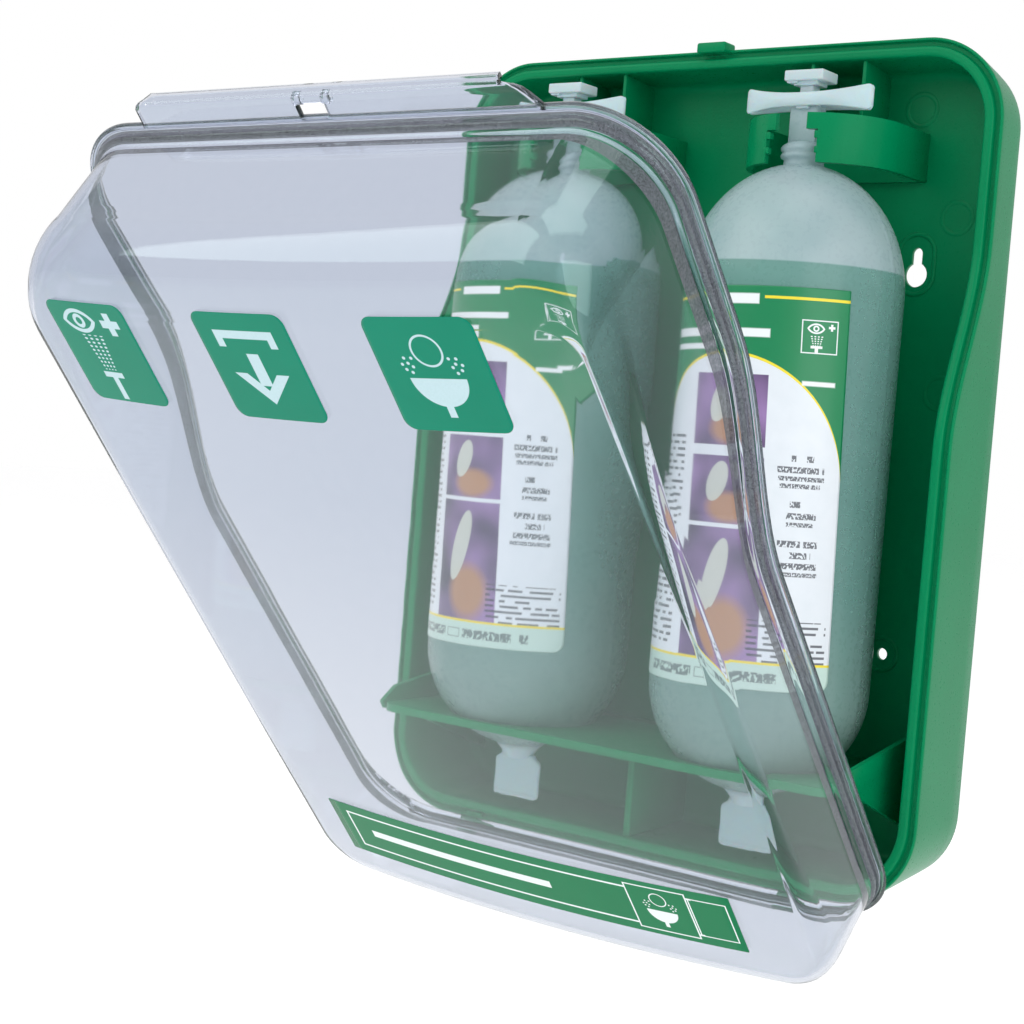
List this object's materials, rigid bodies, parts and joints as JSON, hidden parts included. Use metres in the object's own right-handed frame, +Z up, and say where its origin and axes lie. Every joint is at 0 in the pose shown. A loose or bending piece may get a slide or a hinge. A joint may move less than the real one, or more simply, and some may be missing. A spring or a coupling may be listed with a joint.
{
  "type": "eyewash station",
  "caption": "Wall-mounted eyewash station: green moulded tray with eyewash bottles held by neck clips and a seat shelf, under a clear bottom-hinged lid.",
  "frame": {"origin": "middle of the tray's back face, on the wall", "axes": "+X to the right, +Y into the wall, +Z up"},
  "size_m": [0.245, 0.2787, 0.3396],
  "materials": {
    "green_moulding": "satin moulded plastic",
    "clear_lid": "clear moulded plastic, slightly hazy",
    "hinge_steel": "drawn stainless wire",
    "sticker_film": "printed glossy film",
    "strip_film": "printed glossy film",
    "bottle_plastic": "translucent blow-moulded plastic",
    "saline": "clear sterile liquid",
    "label_paper": "printed semi-gloss label",
    "natural_plastic": "natural translucent moulding"
  },
  "bodies": {
    "tray_unit": {"tray": "green_moulding", "bottle_shelf": "green_moulding", "left_neck_clip": "green_moulding", "right_neck_clip": "green_moulding", "left_hinge_pin": "hinge_steel", "right_hinge_pin": "hinge_steel"},
    "lid_unit": {"lid": "clear_lid", "eye_rinse_sticker": "sticker_film", "pull_sticker": "sticker_film", "basin_sticker": "sticker_film", "name_strip": "strip_film"},
    "left_bottle_unit": {"left_bottle": "bottle_plastic", "left_saline": "saline", "left_label": "label_paper", "left_grip_band": "natural_plastic", "left_end_tab": "natural_plastic"},
    "left_cap_unit": {"left_twist_cap": "natural_plastic"},
    "right_bottle_unit": {"right_bottle": "bottle_plastic", "right_saline": "saline", "right_label": "label_paper", "right_grip_band": "natural_plastic", "right_end_tab": "natural_plastic"},
    "right_cap_unit": {"right_twist_cap": "natural_plastic"}
  },
  "joints": [
    {"name": "lid_hinge", "type": "hinge", "parent": "tray_unit", "child": "lid_unit", "pos_m": [0, -0.0472, -0.16262], "axis": [1, 0, 0], "range_deg": [-41, 0]},
    {"name": "left_bottle_tilt", "type": "hinge", "parent": "tray_unit", "child": "left_bottle_unit", "pos_m": [-0.05425, -0.0443, -0.08359], "axis": [1, 0, 0], "range_deg": [0, 20]},
    {"name": "right_bottle_tilt", "type": "hinge", "parent": "tray_unit", "child": "right_bottle_unit", "pos_m": [0.05425, -0.0443, -0.08359], "axis": [1, 0, 0], "range_deg": [0, 20]},
    {"name": "left_cap_twist", "type": "hinge", "parent": "left_bottle_unit", "child": "left_cap_unit", "pos_m": [-0.05425, -0.0443, 0.13842], "axis": [0, 0, 1], "range_deg": [0, 90]},
    {"name": "right_cap_twist", "type": "hinge", "parent": "right_bottle_unit", "child": "right_cap_unit", "pos_m": [0.05425, -0.0443, 0.13842], "axis": [0, 0, 1], "range_deg": [0, 90]}
  ]
}
